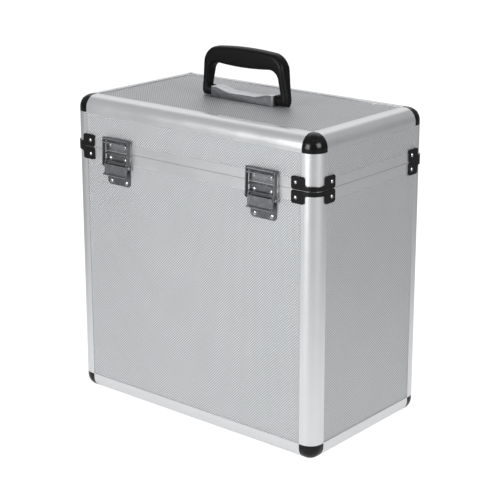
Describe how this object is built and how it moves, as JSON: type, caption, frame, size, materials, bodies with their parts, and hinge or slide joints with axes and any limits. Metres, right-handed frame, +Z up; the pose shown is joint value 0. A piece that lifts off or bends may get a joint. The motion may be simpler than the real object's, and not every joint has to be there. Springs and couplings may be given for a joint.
{
  "type": "aluminium disc case",
  "caption": "Tall aluminium-framed disc case with a shallow hinged lid, rounded black corners, draw latches and a folding carrying handle.",
  "frame": {"origin": "middle of the closed case, on the surface it stands on", "axes": "+X towards the case's right as seen from the latch side, +Y from the latch side to the hinge side, +Z up"},
  "size_m": [0.3752, 0.2273, 0.4454],
  "materials": {
    "textured_panel": "embossed aluminium skin with a fine raised diamond pattern, satin",
    "satin_aluminium": "satin anodised extrusion",
    "black_plastic": "semi-gloss moulded",
    "black_steel": "semi-gloss black coating",
    "zinc_steel": "bright zinc plated",
    "black_handle": "soft satin moulded grip",
    "black_foam": "matte closed-cell foam",
    "divider_board": "matte faced board",
    "black_track": "matte moulded channel"
  },
  "bodies": {
    "base": {"base_front_panel": "textured_panel", "base_back_panel": "textured_panel", "base_left_panel": "textured_panel", "base_right_panel": "textured_panel", "base_floor_panel": "textured_panel", "base_corner_profiles": "satin_aluminium", "base_bottom_profiles": "satin_aluminium", "base_rim_profiles": "satin_aluminium", "base_corner_caps": "black_plastic", "base_corner_braces": "black_steel", "base_brace_rivets": "zinc_steel", "base_wall_linings": "black_foam", "base_floor_lining": "black_foam", "left_latch_base_plate": "zinc_steel", "right_latch_base_plate": "zinc_steel", "latch_lever_pins": "zinc_steel", "latch_base_rivets": "zinc_steel", "base_hinge_leaves": "zinc_steel", "hinge_pins": "zinc_steel", "base_hinge_rivets": "zinc_steel", "disc_divider": "divider_board", "divider_channels": "black_track"},
    "lid": {"lid_front_panel": "textured_panel", "lid_back_panel": "textured_panel", "lid_left_panel": "textured_panel", "lid_right_panel": "textured_panel", "lid_top_panel": "textured_panel", "lid_corner_profiles": "satin_aluminium", "lid_top_profiles": "satin_aluminium", "lid_rim_profiles": "satin_aluminium", "lid_corner_caps": "black_plastic", "lid_corner_braces": "black_steel", "lid_brace_rivets": "zinc_steel", "lid_pad": "black_foam", "left_latch_strike": "zinc_steel", "right_latch_strike": "zinc_steel", "strike_rivets": "zinc_steel", "lid_hinge_leaves": "zinc_steel", "lid_hinge_rivets": "zinc_steel", "handle_bracket": "zinc_steel", "handle_pins": "zinc_steel", "handle_bracket_rivets": "zinc_steel", "handle_backing_plate": "zinc_steel"},
    "handle": {"handle_grip": "black_handle"},
    "left_lever": {"left_latch_lever": "zinc_steel", "left_loop_pin": "zinc_steel"},
    "right_lever": {"right_latch_lever": "zinc_steel", "right_loop_pin": "zinc_steel"},
    "left_loop": {"left_draw_loop": "zinc_steel"},
    "right_loop": {"right_draw_loop": "zinc_steel"}
  },
  "joints": [
    {"name": "lid_hinge", "type": "hinge", "parent": "base", "child": "lid", "pos_m": [0, 0.1083, 0.318], "axis": [-1, 0, 0], "range_deg": [0, 105]},
    {"name": "handle_fold", "type": "hinge", "parent": "lid", "child": "handle", "pos_m": [0, 0, 0.3862], "axis": [1, 0, 0], "range_deg": [-82, 82]},
    {"name": "left_lever_turn", "type": "hinge", "parent": "base", "child": "left_lever", "pos_m": [-0.112, -0.1084, 0.3065], "axis": [-1, 0, 0], "range_deg": [0, 120]},
    {"name": "left_loop_turn", "type": "hinge", "parent": "left_lever", "child": "left_loop", "pos_m": [-0.112, -0.1098, 0.3018], "axis": [-1, 0, 0], "range_deg": [-120, 0]},
    {"name": "right_lever_turn", "type": "hinge", "parent": "base", "child": "right_lever", "pos_m": [0.112, -0.1084, 0.3065], "axis": [-1, 0, 0], "range_deg": [0, 120]},
    {"name": "right_loop_turn", "type": "hinge", "parent": "right_lever", "child": "right_loop", "pos_m": [0.112, -0.1098, 0.3018], "axis": [-1, 0, 0], "range_deg": [-120, 0]}
  ],
  "couplings": [
    {"joint": "left_loop_turn", "follows": "left_lever_turn", "ratio": -1},
    {"joint": "right_loop_turn", "follows": "right_lever_turn", "ratio": -1}
  ]
}
